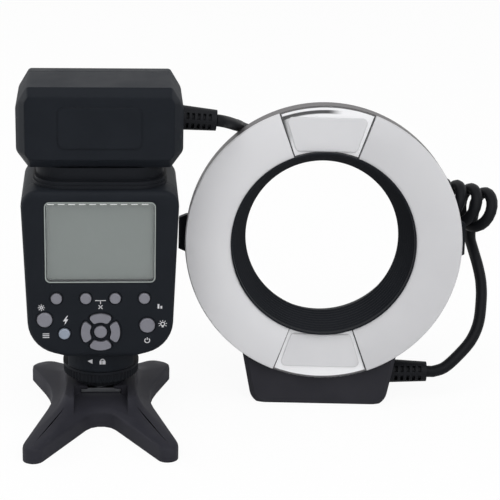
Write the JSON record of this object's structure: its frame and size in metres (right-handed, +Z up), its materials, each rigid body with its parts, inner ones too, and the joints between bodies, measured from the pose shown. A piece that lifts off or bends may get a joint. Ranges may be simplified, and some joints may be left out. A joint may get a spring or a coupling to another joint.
{
  "type": "macro ring flash",
  "caption": "Macro ring flash: controller with screen and keys on a mini stand, ring head with diffusers and flash windows, joined by a curly cord",
  "frame": {"origin": "mouth of the tripod socket in the stand's underside, on the floor below the shoe axis", "axes": "+X to the right seen from the screen side, towards the ring head; +Y away from the screen side; +Z up"},
  "size_m": [0.2305, 0.1171, 0.162],
  "materials": {
    "body_plastic": "fine-textured black moulded plastic",
    "dark_plastic": "satin black moulded plastic",
    "stand_plastic": "matt black moulded plastic",
    "ring_plastic": "satin dark grey moulded plastic",
    "key_plastic": "satin grey moulded plastic",
    "pilot_plastic": "clear bluish moulded plastic",
    "clear_plastic": "clear polished plastic",
    "red_plastic": "dark red clear plastic",
    "diffuser_plastic": "milky diffuser plastic",
    "display": "grey-green liquid crystal glass",
    "mat_rubber": "moulded silicone rubber",
    "cord_rubber": "smooth black soft plastic jacket",
    "circuit_board": "green solder-masked laminate",
    "white_board": "white solder-masked laminate",
    "led_plastic": "phosphor over a white chip housing",
    "cell_jacket": "shrink sleeve over a metal can",
    "bright_steel": "plated stamped steel",
    "gold_contact": "gold-plated contact",
    "bush_brass": "turned brass",
    "reflector_metal": "polished aluminium sheet",
    "tube_glass": "clear flash tube glass"
  },
  "bodies": {
    "controller": {"rear_shell": "body_plastic", "front_shell": "body_plastic", "screen_window": "clear_plastic", "display_module": "display", "key_mat": "mat_rubber", "main_board": "circuit_board", "battery_tray": "body_plastic", "battery_cells": "cell_jacket", "battery_contacts": "bright_steel", "assist_window": "red_plastic", "neck_collar": "dark_plastic", "head_rear_shell": "body_plastic", "head_front_shell": "body_plastic", "capacitor": "cell_jacket", "capacitor_cradle": "dark_plastic", "lock_block": "body_plastic", "shoe_foot": "bright_steel", "shoe_contacts": "gold_contact", "ring_bezel": "ring_plastic", "ring_tube": "dark_plastic", "ring_rear_cover": "body_plastic", "mount_collar": "dark_plastic", "diffuser_left": "diffuser_plastic", "diffuser_right": "diffuser_plastic", "flash_lenses": "clear_plastic", "reflectors": "reflector_metal", "flash_tubes": "tube_glass", "led_boards": "white_board", "led_chips": "led_plastic", "box_front": "body_plastic", "box_rear": "body_plastic", "box_board": "circuit_board", "head_relief": "cord_rubber", "ring_relief": "cord_rubber", "cord_head_lead": "cord_rubber", "cord_curls": "cord_rubber", "cord_ring_lead": "cord_rubber"},
    "stand": {"stand_shell": "stand_plastic", "tripod_bush": "bush_brass"},
    "lock_wheel": {"lock_wheel": "dark_plastic"},
    "battery_door": {"battery_door": "body_plastic"},
    "latch_left": {"release_tab_left": "dark_plastic", "latch_ring_left": "bright_steel"},
    "latch_right": {"release_tab_right": "dark_plastic", "latch_ring_right": "bright_steel"},
    "lamp_key": {"lamp_key": "key_plastic"},
    "clear_left_key": {"clear_left_key": "key_plastic"},
    "clear_right_key": {"clear_right_key": "key_plastic"},
    "ratio_key": {"ratio_key": "key_plastic"},
    "mode_key": {"mode_key": "key_plastic"},
    "power_key": {"power_key": "key_plastic"},
    "pilot_key": {"pilot_key": "pilot_plastic"},
    "set_key": {"set_key": "key_plastic"},
    "up_key": {"up_key": "key_plastic"},
    "down_key": {"down_key": "key_plastic"},
    "left_key": {"left_key": "key_plastic"},
    "right_key": {"right_key": "key_plastic"}
  },
  "joints": [
    {"name": "shoe_slide", "type": "slide", "parent": "controller", "child": "stand", "axis": [0, 1, 0], "range_m": [0, 0.03]},
    {"name": "wheel_turn", "type": "hinge", "parent": "controller", "child": "lock_wheel", "pos_m": [0, 0, 0.0187], "axis": [0, 0, 1], "range_deg": [0, 270]},
    {"name": "door_slide", "type": "slide", "parent": "controller", "child": "battery_door", "axis": [-0.0379, 0, -0.9993], "range_m": [0, 0.007]},
    {"name": "latch_left_slide", "type": "slide", "parent": "controller", "child": "latch_left", "axis": [0.9976, -0.0698, 0], "range_m": [0, 0.002], "stiffness_N_per_m": 600},
    {"name": "latch_right_slide", "type": "slide", "parent": "controller", "child": "latch_right", "axis": [-0.9976, 0.0698, 0], "range_m": [0, 0.002], "stiffness_N_per_m": 600},
    {"name": "lamp_key_press", "type": "slide", "parent": "controller", "child": "lamp_key", "axis": [0, 1, 0], "range_m": [0, 0.0006], "stiffness_N_per_m": 800},
    {"name": "clear_left_key_press", "type": "slide", "parent": "controller", "child": "clear_left_key", "axis": [0, 1, 0], "range_m": [0, 0.0006], "stiffness_N_per_m": 800},
    {"name": "clear_right_key_press", "type": "slide", "parent": "controller", "child": "clear_right_key", "axis": [0, 1, 0], "range_m": [0, 0.0006], "stiffness_N_per_m": 800},
    {"name": "ratio_key_press", "type": "slide", "parent": "controller", "child": "ratio_key", "axis": [0, 1, 0], "range_m": [0, 0.0006], "stiffness_N_per_m": 800},
    {"name": "mode_key_press", "type": "slide", "parent": "controller", "child": "mode_key", "axis": [0, 1, 0], "range_m": [0, 0.0006], "stiffness_N_per_m": 800},
    {"name": "power_key_press", "type": "slide", "parent": "controller", "child": "power_key", "axis": [0, 1, 0], "range_m": [0, 0.0006], "stiffness_N_per_m": 800},
    {"name": "pilot_key_press", "type": "slide", "parent": "controller", "child": "pilot_key", "axis": [0, 1, 0], "range_m": [0, 0.0006], "stiffness_N_per_m": 800},
    {"name": "set_key_press", "type": "slide", "parent": "controller", "child": "set_key", "axis": [0, 1, 0], "range_m": [0, 0.0006], "stiffness_N_per_m": 800},
    {"name": "up_key_press", "type": "slide", "parent": "controller", "child": "up_key", "axis": [0, 1, 0], "range_m": [0, 0.0006], "stiffness_N_per_m": 800},
    {"name": "down_key_press", "type": "slide", "parent": "controller", "child": "down_key", "axis": [0, 1, 0], "range_m": [0, 0.0006], "stiffness_N_per_m": 800},
    {"name": "left_key_press", "type": "slide", "parent": "controller", "child": "left_key", "axis": [0, 1, 0], "range_m": [0, 0.0006], "stiffness_N_per_m": 800},
    {"name": "right_key_press", "type": "slide", "parent": "controller", "child": "right_key", "axis": [0, 1, 0], "range_m": [0, 0.0006], "stiffness_N_per_m": 800}
  ]
}
